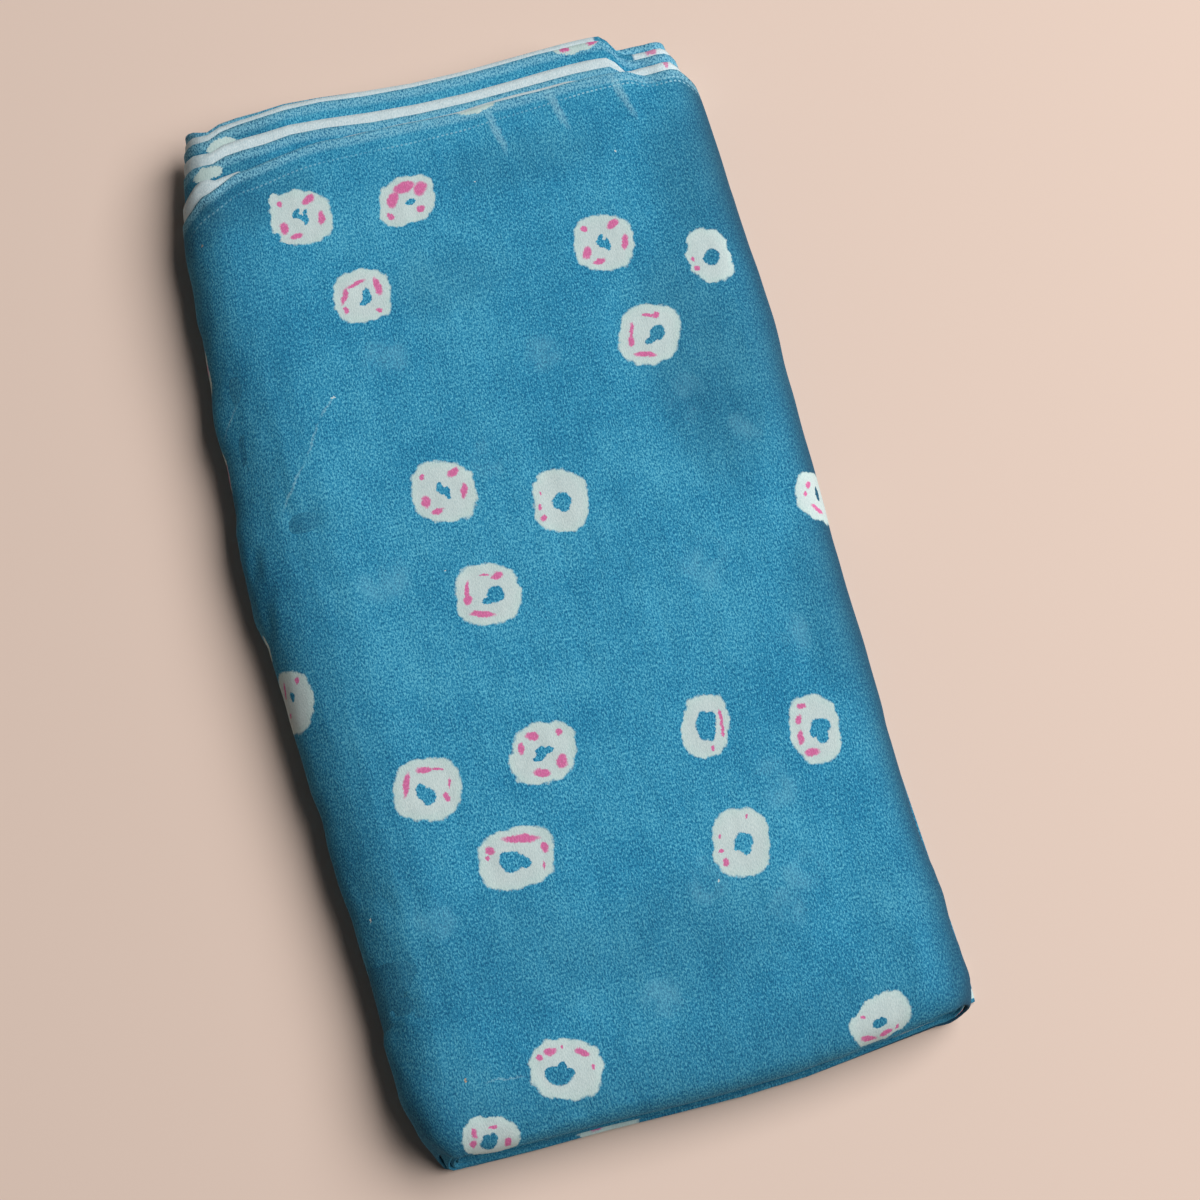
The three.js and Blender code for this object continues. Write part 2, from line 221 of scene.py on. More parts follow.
def curl(y, off, turn, wrap, start):
    """Bends the fold end inward, round the edge of the bundle: new y and offset."""
    share = np.maximum(read(CURL_SHARE, turn - np.floor(turn)), 1e-3)
    radius = np.maximum(CURL_RADIUS - wrap * PITCH, 3.0) / share
    share = np.where(wrap < 4, 1.0, 0.0)
    past = np.maximum(start - y, 0.0)
    limit = np.where(share > 0, 0.5 * math.pi, 0.0)
    angle = np.minimum(past / radius, limit)
    rest = past - angle * radius
    bent_y = start - (radius + off) * np.sin(angle) - rest * np.cos(angle)
    bent_off = (radius + off) * np.cos(angle) - radius - rest * np.sin(angle)
    on = (past > 0) & (wrap < 4)
    return np.where(on, bent_y, y), np.where(on, bent_off, off)


def settle(x, y, z, loose, nor_x, nor_z):
    """The bundle's own unevenness. loose is 1 on the outermost ply and 0 inside."""
    side = smooth((x + HALF_WIDTH) / (2 * HALF_WIDTH))
    left, right = read(OUTLINE, y, 1) / HALF_WIDTH, read(OUTLINE, y, 2) / HALF_WIDTH
    nx = x * (left + (right - left) * side)
    up = z / HEIGHT
    rise = read(PRESS, y)
    for hx, hy, rx, ry, dz in HOLLOWS:
        rise = rise + dz / HEIGHT * np.exp(-(((nx - hx) / rx) ** 2) - ((y - hy) / ry) ** 2)
    nz = z * rise
    # soft waviness of the upper side, and of the side folds
    lift = 0.55 * broad(nx, y * 0.8) + 0.22 * middling(nx, y * 0.6)
    mid = np.clip(4 * up * (1 - up), 0, 1)
    out = np.sign(nx) * mid * smooth((np.abs(nx) - 118) / 30)
    nx = nx + out * (0.7 * side_wave(y, 40.0 * np.sign(nx)) + 0.35 * edge_wave(y, z * 2 + 80 * np.sign(nx)))
    at_left = smooth((-x - 116) / 28)
    at_right = smooth((x - 118) / 26)
    nx = nx - at_left * (read(SIDES, y, 1) * np.exp(-(((up - 0.52) / 0.36) ** 2)) + read(SIDES, y, 2) * np.exp(-(((up - 0.30) / 0.2) ** 2)))
    nx = nx + at_right * read(SIDES, y, 3) * np.exp(-(((up - 0.5) / 0.4) ** 2))
    crease = np.zeros_like(nx)
    for x0, y0, x1, y1, half, height, fade in CREASES:
        dx, dy = x1 - x0, y1 - y0
        length = math.hypot(dx, dy)
        t = ((nx - x0) * dx + (y - y0) * dy) / length
        off = ((nx - x0) * dy - (y - y0) * dx) / length + 0.5 * middling(nx * 1.3 + x0, y * 1.3 + y0) * min(half, 3)
        ends = smooth((t + fade * 0.3) / fade) * smooth((length + fade * 0.3 - t) / fade)
        crease = crease + height * ends * np.exp(-((off / half) ** 2))
    top = smooth((up - 0.55) / 0.45)
    push = loose * smooth((up - 0.38) / 0.2) * (crease + 0.07 * fine_wave(nx, y * 0.7))
    nz = nz + top * lift
    half = HEIGHT / 2
    nz = np.where(nz > half, half + (nz - half) * (1 - read(SHOULDER, nx) * read(SHOULDER_ALONG, y)), nz)
    return nx + push * nor_x, y, nz + push * nor_z


# ---- the cloth's mesh --------------------------------------------------------
def spread(length, fine, coarse, ends):
    """Distances 0..length: steps of `fine` within `ends` of both ends, `coarse` between."""
    out, at = [0.0], 0.0
    while at < length - 1e-6:
        near = min(at, length - at)
        at += fine if near < ends else coarse
        out.append(at)
    out = np.array(out)
    return out / out[-1]


TOP_FINE = np.arange(0, 96) / 96.0
TOP_EDGE = np.array([0, 0.03, 0.07, 0.12, 0.18, 0.26, 0.36, 0.47, 0.58, 0.68, 0.76, 0.82, 0.86, 0.885, 0.905, 0.92, 0.935, 0.95, 0.97])
TOP_IN = np.array([0, 0.06, 0.16, 0.3, 0.5, 0.7, 0.82, 0.88, 0.92, 0.96])

OUTER_SHARES = spread(566.0, 2.0, 3.7, 14.0)            # outer ply of the outer wrap, fold to selvedge
INNER_SHARES = np.array([0, 0.008, 0.03, 0.1, 0.25, 0.45, 0.65, 0.82, 0.92, 0.965, 0.985, 0.995, 1.0])
HIDDEN_SHARES = np.array([0, 0.012, 0.05, 0.2, 0.5, 0.8, 0.93, 0.975, 0.993, 1.0])


def column(st, outer_shares, inner_shares, fold_cells):
    """Places across the doubled cloth: y, offset, normal (y, o), ply sign, print y, edge distance."""
    x, z, turn = st[0], st[1], st[4]
    upper = min(1.0, max(0.0, z / HEIGHT))
    curve = float(read(SELVEDGE_CURVE, x)) * (0.35 + 0.65 * float(smooth(2 * upper)))
    y_a, y_b = row_at(turn, "a") + curve, row_at(turn, "b") + curve
    if st[5] == 0:
        y_a = y_b + float(read(FIRST_SLIP, turn))
    elif z > HEIGHT / 2:
        dip = VALLEY[2] * math.exp(-(((x - VALLEY[0]) / VALLEY[1]) ** 2))
        y_a, y_b = y_a - dip, y_b - dip
    bend = 1.0 if x > 0 or (st[5] == 0 and turn > 0.2) else 0.7
    y_f = row_at(turn, "f") + float(read(FOLD_CURVE, x)) * bend + PLY_OFFSET + PLY / 2
    rows = []
    for t in inner_shares[::-1][:-1]:
        y = y_f + (y_a - y_f) * t
        rows.append((y, -PLY_OFFSET, 0, -1, 0.0, -570 - y, y_a - y))
    for j in range(fold_cells + 1):
        a = -math.pi / 2 + math.pi * j / fold_cells
        y = y_f - PLY_OFFSET * math.cos(a)
        q = y_f if a >= 0 else -570 - y_f
        q = -285 + (y_f + 285) * math.sin(a) + 0.0
        rows.append((y, PLY_OFFSET * math.sin(a), -math.cos(a), math.sin(a), 0.5 + 0.5 * math.sin(a), q, 500.0))
    for t in outer_shares[1:]:
        y = y_f + (y_b - y_f) * t
        rows.append((y, PLY_OFFSET, 0, 1, 1.0, y, y_b - y))
    return np.array(rows, float)


def build_cloth():
    st, arc = winding(
        lambda w: TOP_FINE if w == 0 else (TOP_EDGE if w < 4 else TOP_IN),
        lambda w: 16 if w == 0 else (10 if w < 4 else 7),
        lambda w: 30 if w == 0 else 7,
    )
    outer_end = int(np.sum(st[:, 4] < 0.875 + 1e-9))      # the fine grid ends where wrap 2 starts under
    columns, starts, total = [], [], 0
    for i, s in enumerate(st):
        if i <= outer_end:
            c = column(s, OUTER_SHARES, INNER_SHARES, 5)
        else:
            c = column(s, INNER_SHARES if s[5] < 5 else INNER_SHARES, HIDDEN_SHARES if s[5] > 4 else INNER_SHARES, 4)
        columns.append(c)
        starts.append(total)
        total += len(c)
    lens = [len(c) for c in columns]
    data = np.concatenate(columns)
    which = np.repeat(np.arange(len(st)), lens)
    S = st[which]
    y, off, ny, no, ply, qy, edge = data.T
    loose = np.clip(1.0 - np.maximum(0.0, S[:, 4] - 0.9) * 3, 0, 1) * (0.35 + 0.65 * ply)
    # plies open a little and wave at the selvedges, each in its own way
    wild = np.exp(-np.maximum(edge, 0) / 16.0)
    key = S[:, 5] * 37.0 + ply * 19.0
    off = off + no * wild * 0.26 * edge_wave(S[:, 0] * 0.9 + key, key * 3.1)
    y = y + wild * 0.55 * fine_wave(S[:, 0] * 0.8 + key * 5.3, key * 1.7)
    thick = THIN + (THIN_EDGE - THIN) * np.exp(-np.maximum(edge, 0) / 2.5)
    start = CURL_START + read(FOLD_CURVE, S[:, 0]) * 0.8
    verts = []
    for side in (1, -1):
        yy, o = curl(y + ny * side * thick / 2, off + no * side * thick / 2, S[:, 4], S[:, 5], start)
        px, py, pz = settle(S[:, 0] + S[:, 2] * o, yy, S[:, 1] + S[:, 3] * o, loose, S[:, 2], S[:, 3])
        verts.append(np.stack([px + SHIFT[0], py + SHIFT[1], np.maximum(pz + SHIFT[2], 0.02)], 1))
    verts = np.concatenate(verts) * MM
    faces = []
    n = len(data)

    def strip(i):
        """Faces between columns i and i+1, as lists of corner indices, outer side."""
        a0, b0, la, lb = starts[i], starts[i + 1], lens[i], lens[i + 1]
        if la == lb:
            return [(a0 + j, a0 + j + 1, b0 + j + 1, b0 + j) for j in range(la - 1)]
        ta = along(columns[i])
        tb = along(columns[i + 1])
        out, p, q = [], 0, 0
        while p < la - 1 or q < lb - 1:
            if q == lb - 1 or (p < la - 1 and ta[p + 1] <= tb[q + 1]):
                out.append((a0 + p, a0 + p + 1, b0 + q))
                p += 1
            else:
                out.append((a0 + p, b0 + q + 1, b0 + q))
                q += 1
        return out

    def along(c):
        d = np.concatenate([[0], np.cumsum(np.hypot(np.diff(c[:, 0]), np.diff(c[:, 1])))])
        return d / d[-1]

    for i in range(len(st) - 1):
        for f in strip(i):
            faces.append(f)
            faces.append(tuple(k + n for k in f[::-1]))
        a0, b0, la, lb = starts[i], starts[i + 1], lens[i] - 1, lens[i + 1] - 1
        faces.append((a0, b0, b0 + n, a0 + n))
        faces.append((a0 + la, a0 + la + n, b0 + lb + n, b0 + lb))
    e0, el = starts[-1], lens[-1]
    for j in range(lens[0] - 1):
        faces.append((j, j + n, j + 1 + n, j + 1))
    for j in range(el - 1):
        faces.append((e0 + j, e0 + j + 1, e0 + j + 1 + n, e0 + j + n))
    me = bpy.data.meshes.new("mulmul_cloth")
    me.from_pydata([tuple(v) for v in verts], [], faces)
    # cloth coordinates: along the length and across, and the distance to the own selvedge
    loops = np.empty(len(me.loops), int)
    me.loops.foreach_get("vertex_index", loops)
    base = loops % n
    a = arc[which]
    for name, u, v in (("print", a * MM, qy * MM), ("edge", np.minimum(edge, 60) * MM, ply)):
        layer = me.uv_layers.new(name=name)
        layer.uv.foreach_set("vector", np.stack([u[base], v[base]], 1).astype(np.float32).ravel())
    me.polygons.foreach_set("use_smooth", np.ones(len(me.polygons), bool))
    me.update()
    me.validate()
    ob = bpy.data.objects.new("cloth_visual", me)
    bpy.context.scene.collection.objects.link(ob)
    # outward faces
    six = 0.0
    co = verts
    for f in faces[:: max(1, len(faces) // 20000)]:
        six += float(np.dot(co[f[0]], np.cross(co[f[1]], co[f[2]])))
    if six < 0:
        me.flip_normals()
    return ob, sum(len(f) - 2 for f in faces)


# ---- node helpers --------------------------------------------------------------
class Graph:
    def __init__(self, tree):
        self.t = tree
        self.uvs = {}

    def node(self, kind, **props):
        n = self.t.nodes.new(kind)
        for k, v in props.items():
            setattr(n, k, v)
        return n

    def put(self, socket, value):
        if isinstance(value, bpy.types.NodeSocket):
            self.t.links.new(value, socket)
        elif value is not None:
            if hasattr(socket.default_value, "__len__") and not hasattr(value, "__len__"):
                value = (value,) * len(socket.default_value)
            elif hasattr(value, "__len__") and len(value) == 3 and len(socket.default_value) == 4:
                value = (*value, 1)
            socket.default_value = value

    def uv(self, name):
        if name not in self.uvs:
            self.uvs[name] = self.node("ShaderNodeUVMap", uv_map=name).outputs[0]
        return self.uvs[name]

    def math(self, op, a, b=None, c=None, clamp=False):
        n = self.node("ShaderNodeMath", operation=op, use_clamp=clamp)
        for s, v in zip(n.inputs, (a, b, c)):
            self.put(s, v)
        return n.outputs[0]

    def vec(self, op, a, b=None, c=None, scale=None):
        n = self.node("ShaderNodeVectorMath", operation=op)
        self.put(n.inputs[0], a)
        self.put(n.inputs[1], b)
        self.put(n.inputs[2], c)
        if scale is not None:
            self.put(n.inputs["Scale"], scale)
        return n.outputs["Value"] if op in ("LENGTH", "DOT_PRODUCT", "DISTANCE") else n.outputs["Vector"]

    def local(self, vector, at, turn, size, back=((1, 0), (0, 1))):
        """The two coordinates of a turned, sized spot; `vector` carries 1 in z. Metres, degrees.
        `back` leads from the cloth to the chart on which the spot is laid out."""
        c, s = math.cos(math.radians(turn)), math.sin(math.radians(turn))
        w, h = size
        ex = ((c * back[0][0] + s * back[1][0]) / w, (c * back[0][1] + s * back[1][1]) / w)
        ey = ((-s * back[0][0] + c * back[1][0]) / h, (-s * back[0][1] + c * back[1][1]) / h)
        return (self.vec("DOT_PRODUCT", vector, (*ex, -ex[0] * at[0] - ex[1] * at[1])),
                self.vec("DOT_PRODUCT", vector, (*ey, -ey[0] * at[0] - ey[1] * at[1])))

    def round_spot(self, vector, at, turn, size, back=((1, 0), (0, 1))):
        """Squared distance to a turned ellipse's centre, 1 on its outline."""
        x, y = self.local(vector, at, turn, size, back)
        return self.math("MULTIPLY_ADD", y, y, self.math("MULTIPLY", x, x))

    def square_spot(self, vector, at, turn, size, back, lean):
        """The same for a rounded square, which may lean toward one corner."""
        x, y = self.local(vector, at, turn, size, back)
        x2, y2 = self.math("MULTIPLY", x, x), self.math("MULTIPLY", y, y)
        fx, fy = self.math("MULTIPLY_ADD", x2, 0.4, 0.6), self.math("MULTIPLY_ADD", y2, 0.4, 0.6)
        total = self.math("MULTIPLY_ADD", y2, fy, self.math("MULTIPLY", x2, fx))
        if abs(lean) < 0.01:
            return total
        return self.math("MULTIPLY_ADD", self.math("MULTIPLY", x, y), lean, total)

    def least(self, low, value):
        return value if low is None else self.math("MINIMUM", low, value)

    def split(self, vector):
        n = self.node("ShaderNodeSeparateXYZ")
        self.put(n.inputs[0], vector)
        return n.outputs

    def join(self, x, y, z=0.0):
        n = self.node("ShaderNodeCombineXYZ")
        for s, v in zip(n.inputs, (x, y, z)):
            self.put(s, v)
        return n.outputs[0]

    def ramp(self, value, lo, hi, to_lo=0.0, to_hi=1.0, soft=True):
        n = self.node("ShaderNodeMapRange", interpolation_type="SMOOTHSTEP" if soft else "LINEAR", clamp=True)
        for s, v in zip(n.inputs[:5], (value, lo, hi, to_lo, to_hi)):
            self.put(s, v)
        return n.outputs[0]

    def noise(self, vector, scale, detail=2.0, rough=0.5, out="Fac", dims="2D"):
        n = self.node("ShaderNodeTexNoise", noise_dimensions=dims)
        self.put(n.inputs["Vector"], vector)
        n.inputs["Scale"].default_value = scale
        n.inputs["Detail"].default_value = detail
        n.inputs["Roughness"].default_value = rough
        return n.outputs[out]

    def mix(self, fac, a, b, blend="MIX"):
        n = self.node("ShaderNodeMix", data_type="RGBA", blend_type=blend, clamp_factor=True)
        self.put(n.inputs["Factor"], fac)
        self.put([s for s in n.inputs if s.name == "A" and s.type == "RGBA"][0], a)
        self.put([s for s in n.inputs if s.name == "B" and s.type == "RGBA"][0], b)
        return [s for s in n.outputs if s.type == "RGBA"][0]


def srgb(text, gain=1.0):
    out = []
    for i in (0, 2, 4):
        c = int(text[i:i + 2], 16) / 255
        out.append((c / 12.92 if c <= 0.04045 else ((c + 0.055) / 1.055) ** 2.4) * gain)
    return tuple(out) + (1.0,)


# ---- the chart of the print ------------------------------------------------------
# Each pale tied ring: its middle along and across the cloth, half width, half height,
# turn and lean on the chart, and how far the cloth runs for 1 mm right, 1 mm up on it.
RINGS = [
    ('a', -85.8, 242.7, 18.1, 15.8, 0, 0.11, 0.91, -0.25, 0.23, 1.02),
    ('a2', 70.7, 183.9, 17.8, 16.4, 0, 0.07, 0.92, -0.26, 0.28, 1.00),
    ('a3', -47.7, 66.1, 18.2, 17.4, 0, 0.22, 0.87, -0.26, 0.24, 1.00),
    ('a4', -35.1, -89.0, 17.6, 16.6, 0, -0.37, 0.91, -0.26, 0.26, 0.98),
    ('c1', -27.4, 237.4, 17.1, 14.0, 10, -0.35, 0.91, -0.25, 0.25, 1.01),
    ('c2', -63.2, 188.5, 16.9, 15.0, 6, -0.12, 0.90, -0.25, 0.22, 1.01),
    ('b1', 124.5, 161.2, 12.6, 15.9, 8, 0.42, 0.91, -0.24, 0.28, 1.00),
    ('b2', 9.0, 44.4, 15.7, 17.6, 0, 0.15, 0.91, -0.26, 0.25, 0.99),
    ('b3', 52.5, -162.6, 15.6, 18.6, 3, 0.04, 0.97, -0.26, 0.28, 0.97),
    ('d1', 80.2, 124.8, 18.0, 17.3, 2, -0.21, 0.93, -0.26, 0.27, 1.00),
    ('d2', -40.0, 3.6, 18.2, 16.7, 4, 0.06, 0.89, -0.26, 0.25, 0.99),
    ('d3', -95.9, -92.1, 18.8, 17.5, 0, -0.16, 0.89, -0.26, 0.26, 0.98),
    ('d4', 108.0, -113.8, 13.9, 18.7, 8, 0.20, 0.98, -0.25, 0.28, 0.97),
    ('h1', 50.7, -97.3, 12.5, 17.1, 2, -0.12, 0.97, -0.25, 0.27, 0.98),
    ('g1', -62.8, -140.0, 20.9, 16.5, 12, -0.16, 0.92, -0.26, 0.25, 0.97),
    ('w1', -66.0, -253.2, 19.6, 16.0, -4, -0.01, 0.93, -0.26, 0.27, 0.96),
    ('k1', -113.8, -277.1, 14.7, 10.9, 2, 0.00, 0.93, -0.26, 0.36, 1.01),
    ('r1', 96.9, -271.1, 17.3, 11.5, 38, 0.00, 1.02, -0.25, 0.16, 0.96),
    ('e1', 149.5, 12.5, 15.5, 15.0, 0, 0.00, 0.97, -0.26, 0.26, 0.97),
    ('e2', -151.5, -24.0, 14.6, 17.6, 0, 0.00, 0.97, -0.26, 0.26, 0.97),
]
PINKS = [
    ('a', -12.4, 7.4, 1.7, 1.7, 0),
    ('a', 4.4, 10.5, 3.8, 2.3, 35),
    ('a', 12.0, 0.0, 2.0, 4.1, 0),
    ('a', -9.6, -6.1, 2.5, 3.5, 0),
    ('a', -2.3, -10.5, 3.5, 1.7, 15),
    ('a2', -11.9, 7.8, 1.7, 1.7, 0),
    ('a2', 4.9, 10.8, 3.8, 2.3, 35),
    ('a2', 11.9, 0.3, 2.0, 4.3, 0),
    ('a2', -9.8, -5.9, 2.5, 3.5, 0),
    ('a2', -2.9, -10.8, 3.5, 1.7, 15),
    ('a3', -11.5, 7.9, 1.7, 1.7, 0),
    ('a3', 5.3, 10.7, 3.6, 2.2, 35),
    ('a3', 11.5, 0.6, 1.9, 4.2, 0),
    ('a3', -9.9, -5.7, 2.4, 3.3, 0),
    ('a3', -3.2, -10.7, 3.3, 1.7, 15),
    ('a4', -5.9, 9.0, 3.4, 2.1, -15),
    ('a4', 8.7, 11.3, 1.9, 1.9, 0),
    ('a4', -11.5, 2.6, 2.0, 3.2, 0),
    ('a4', 10.7, -4.4, 3.0, 3.5, 0),
    ('a4', -0.4, -10.7, 4.6, 2.1, -5),
    ('c1', -8.0, 0.2, 4.8, 2.9, 72),
    ('c1', -1.9, 7.3, 6.5, 2.9, 22),
    ('c1', 7.7, 6.8, 3.6, 4.2, -30),
    ('c1', 8.2, -4.6, 2.7, 2.0, 20),
    ('c1', -8.9, -9.2, 2.6, 1.3, -30),
    ('c2', -3.8, 6.6, 5.7, 1.4, 25),
    ('c2', -10.3, -0.6, 4.6, 1.4, 80),
    ('c2', -9.2, -8.6, 2.3, 1.4, -60),
    ('c2', 8.8, 5.5, 4.9, 1.7, -70),
    ('c2', 9.5, -8.2, 1.7, 1.4, 0),
    ('b1', -9.2, -2.3, 1.2, 1.4, 0),
    ('b1', -7.5, -7.2, 1.7, 1.4, -20),
    ('b2', -11.4, -3.8, 1.1, 1.7, 0),
    ('b2', -9.2, -9.6, 1.7, 1.8, 0),
    ('b2', -11.4, 3.9, 0.7, 1.1, 0),
    ('b3', -10.9, -4.9, 1.3, 1.3, 0),
    ('b3', -8.4, -10.6, 1.7, 1.9, 0),
    ('b3', -11.1, 3.2, 0.7, 1.1, 0),
    ('b3', 2.7, 13.3, 0.8, 1.3, 0),
    ('d1', -10.0, 1.4, 1.0, 4.8, 0),
    ('d1', -10.1, -4.3, 2.0, 2.8, 0),
    ('d1', -1.1, 10.8, 3.4, 0.9, 0),
    ('d1', 3.6, 11.0, 2.3, 1.7, 20),
    ('d1', -2.0, -11.7, 6.0, 1.5, 2),
    ('d2', -11.5, 1.6, 1.1, 5.5, -5),
    ('d2', -11.2, -3.6, 2.2, 2.7, 0),
    ('d2', -2.3, 10.6, 3.0, 0.7, 0),
    ('d2', 4.7, 10.1, 3.0, 1.9, 20),
    ('d2', -2.9, -11.2, 6.6, 1.6, -4),
    ('d3', -11.4, 2.6, 6.4, 1.7, 82),
    ('d3', -1.9, 10.5, 4.0, 1.9, 5),
    ('d3', 5.2, 11.1, 3.2, 0.8, -10),
    ('d3', 11.9, 3.6, 0.7, 2.9, 0),
    ('d3', 10.5, -3.6, 1.9, 2.4, 20),
    ('d4', -7.3, 12.4, 2.4, 1.6, 10),
    ('d4', -8.9, 4.8, 1.6, 2.6, 0),
    ('d4', -7.5, -4.7, 1.6, 3.8, 5),
    ('d4', -1.6, -12.7, 4.0, 2.2, 12),
    ('h1', 8.3, 4.3, 0.9, 4.8, 8),
    ('h1', 9.7, -2.2, 0.8, 3.5, 5),
    ('h1', 4.0, -11.9, 0.9, 1.6, 0),
    ('g1', 2.8, 10.7, 9.5, 1.9, 4),
    ('g1', -13.7, 4.1, 2.6, 2.4, -30),
    ('g1', -15.2, -0.2, 1.6, 1.3, 0),
    ('g1', 15.1, 6.2, 1.9, 2.8, 15),
    ('g1', 14.5, -3.4, 0.7, 2.4, 0),
    ('w1', -8.6, 8.8, 3.0, 1.8, 15),
    ('w1', -13.9, 5.7, 1.5, 1.8, 0),
    ('w1', 8.1, 8.7, 4.1, 1.8, -20),
    ('w1', 14.2, 0.7, 1.2, 1.7, 0),
    ('w1', -2.6, 11.3, 1.0, 1.0, 0),
    ('k1', -8.4, 2.4, 1.5, 2.3, 0),
    ('k1', -9.2, -2.9, 1.5, 2.3, 0),
    ('k1', 9.1, -2.5, 1.7, 3.2, 0),
    ('k1', 1.5, 5.6, 2.0, 1.0, 15),
    ('r1', -8.8, 1.3, 1.6, 1.0, 0),
    ('r1', -6.1, -10.1, 4.4, 1.8, -3),
    ('r1', 3.0, -7.4, 3.4, 1.6, 38),
    ('r1', 8.6, -3.6, 2.1, 0.6, 60),
    ('e1', -7.8, 5.3, 2.5, 1.7, 60),
    ('e1', -9.8, -0.6, 1.0, 1.4, 0),
    ('e1', -2.1, -8.0, 4.4, 1.4, -15),
    ('e2', 5.5, 12.1, 1.5, 2.0, 0),
    ('e2', -4.7, 7.5, 1.1, 4.5, 0),
    ('e2', -2.6, -6.0, 1.0, 1.6, 0),
]
BLUES = [
    ('a', -2.6, 2.4, 1.7, 3.0, -20),
    ('a', 0.4, 0.3, 3.8, 1.8, -25),
    ('a', 3.2, -0.6, 1.6, 3.6, 10),
    ('a', 2.9, 3.0, 1.2, 1.8, 0),
    ('a2', -2.7, 1.6, 1.7, 2.7, -20),
    ('a2', -0.2, -0.9, 3.5, 2.0, -20),
    ('a2', 2.2, -1.2, 1.6, 3.8, 10),
    ('a3', -2.2, 2.6, 1.9, 2.8, -20),
    ('a3', 0.4, 0.4, 3.6, 2.2, -20),
    ('a3', 2.6, -0.6, 1.7, 3.7, 10),
    ('a4', 3.1, 1.7, 3.0, 1.8, 25),
    ('a4', -1.0, 0.2, 3.0, 3.8, -40),
    ('a4', -2.4, -2.6, 2.9, 1.6, 20),
    ('c1', 2.2, -1.2, 3.1, 1.9, 20),
    ('c2', 2.6, -0.2, 2.8, 4.2, 8),
    ('c2', 1.2, -4.0, 2.9, 2.0, 25),
    ('b1', 1.4, -1.1, 4.6, 4.8, 0),
    ('b1', -1.6, -2.5, 2.0, 2.1, 0),
    ('b2', 0.7, -0.4, 5.3, 5.0, 0),
    ('b2', 1.8, -3.4, 3.4, 2.8, 0),
    ('b3', 0.9, -0.2, 5.3, 5.4, 0),
    ('b3', 2.6, -3.6, 2.9, 3.0, 0),
    ('b3', -2.5, -2.2, 1.9, 2.8, -15),
    ('d1', 4.1, 0.6, 3.9, 4.8, -30),
    ('d1', 1.0, -3.0, 4.4, 2.1, 25),
    ('d2', 4.6, -0.1, 4.8, 4.8, -20),
    ('d2', 0.9, -3.3, 4.4, 2.0, 15),
    ('d3', -3.0, -1.4, 3.4, 5.0, 18),
    ('d3', 0.6, -3.8, 4.0, 4.4, -5),
    ('d4', 3.0, 1.2, 5.3, 5.0, 0),
    ('d4', 4.4, -4.0, 3.4, 4.0, 0),
    ('d4', -0.4, -1.2, 2.4, 3.4, 0),
    ('h1', -0.2, 0.5, 4.8, 7.8, 5),
    ('h1', 3.4, -1.0, 2.6, 7.4, 0),
    ('h1', 2.6, 3.6, 3.2, 4.6, -10),
    ('g1', -2.6, -1.8, 6.2, 5.6, -6),
    ('g1', 3.8, -1.8, 5.2, 3.4, -8),
    ('g1', -6.2, 0.6, 2.6, 3.2, 0),
    ('w1', -3.8, -3.6, 7.0, 5.2, -3),
    ('w1', -2.1, 0.6, 2.6, 3.4, -10),
    ('w1', -8.6, -1.6, 2.4, 2.6, 0),
    ('w1', 1.9, -1.8, 2.4, 3.0, 20),
    ('k1', -1.2, -2.2, 4.6, 4.1, 0),
    ('k1', 1.5, 0.6, 2.2, 2.2, 0),
    ('r1', -0.5, -1.1, 3.9, 2.3, 12),
    ('e1', -0.8, 1.6, 1.7, 4.4, 0),
    ('e2', 1.7, 3.9, 1.7, 2.9, 10),
]
# Bulges of the rings and nicks cut out of them, laid out as the pinks are.
LOBES = [
    ("a", -14.5, 9.5, 4.0, 4.0, 0), ("a", -6.0, -13.0, 3.6, 2.6, 0),
]
NICKS = [
    ("a", -15.5, -13.0, 3.4, 4.6, -35),
]
# Rings cut by the selvedges of the wraps below, and at the left fold: along, across,
# half width, half height, on the whole cloth.
EDGE_RINGS = [
    (1127.5, 299.8, 9.5, 5.0), (501.5, 283.8, 8.6, 4.5), (23.5, 284.2, 12.5, 5.6), (1338.0, 309.0, 14.0, 6.0),
    (997.0, -287.0, 17.0, 5.0), (-158.4, 174.0, 3.4, 13.5), (-160.0, 112.0, 3.4, 15.0), (-161.4, 10.0, 3.0, 8.5),
]
EDGE_PINKS = [(1331.0, 307.0, 2.6, 1.8), (1347.0, 308.0, 3.4, 2.2), (-158.4, 176.0, 2.0, 4.5), (-160.6, 112.0, 1.8, 8.0), (1003.0, -288.6, 4.5, 1.7)]
MARGIN_PINKS = [(1379.0, -864.3, 3.2, 2.2), (769.0, -853.0, 1.4, 2.6)]
# Paler clouds where rings of the ply below show through: along, across, half size.
GHOSTS = [
    (78.3, -136.5, 15), (79.5, -185.8, 13), (66.5, -203.2, 12), (28.2, -177, 13), (90.1, 84.1, 14), (118.7, 60.2, 11),
    (75, -10.2, 17), (-88.5, 26.1, 15), (-19, 78, 13), (-60, 150, 14), (20, 130, 12), (-110, -160, 13), (-10, -230, 12), (110, -60, 13),
]
# Pale lines along the sharp crease ridges, a painted highlight where the ridges catch the light: from, to (along,
# across), half width.
CREASE_HIGHLIGHTS = [
    (28.4, 286, 33.5, 247, 3.0), (63.6, 293, 71, 252, 3.2), (100.5, 293, 109.4, 248, 3.0),
    (-87.8, 136.4, -100.4, 123.9, 0.9), (-100, 124.4, -110.3, 102.9, 0.9), (-110, 103.6, -128, 76.3, 0.9),
    (-109.2, -248.6, -84.2, -251.3, 0.7), (-136, 150, -152, 129, 0.8),
]
# Flecks of lint: along, across, half width, half height.
LINT = [(-89.8, 134, 1.5, 0.45), (-141.1, -150.2, 0.42, 1.2), (34.8, -178.7, 0.7, 0.7), (12, 238, 0.6, 0.5), (-58, 22, 0.7, 0.4), (92, 236, 0.5, 0.6)]
STRAW = [(-116.1, -245.1, 0.45, 1.3), (-141.8, 242.3, 0.6, 0.6)]
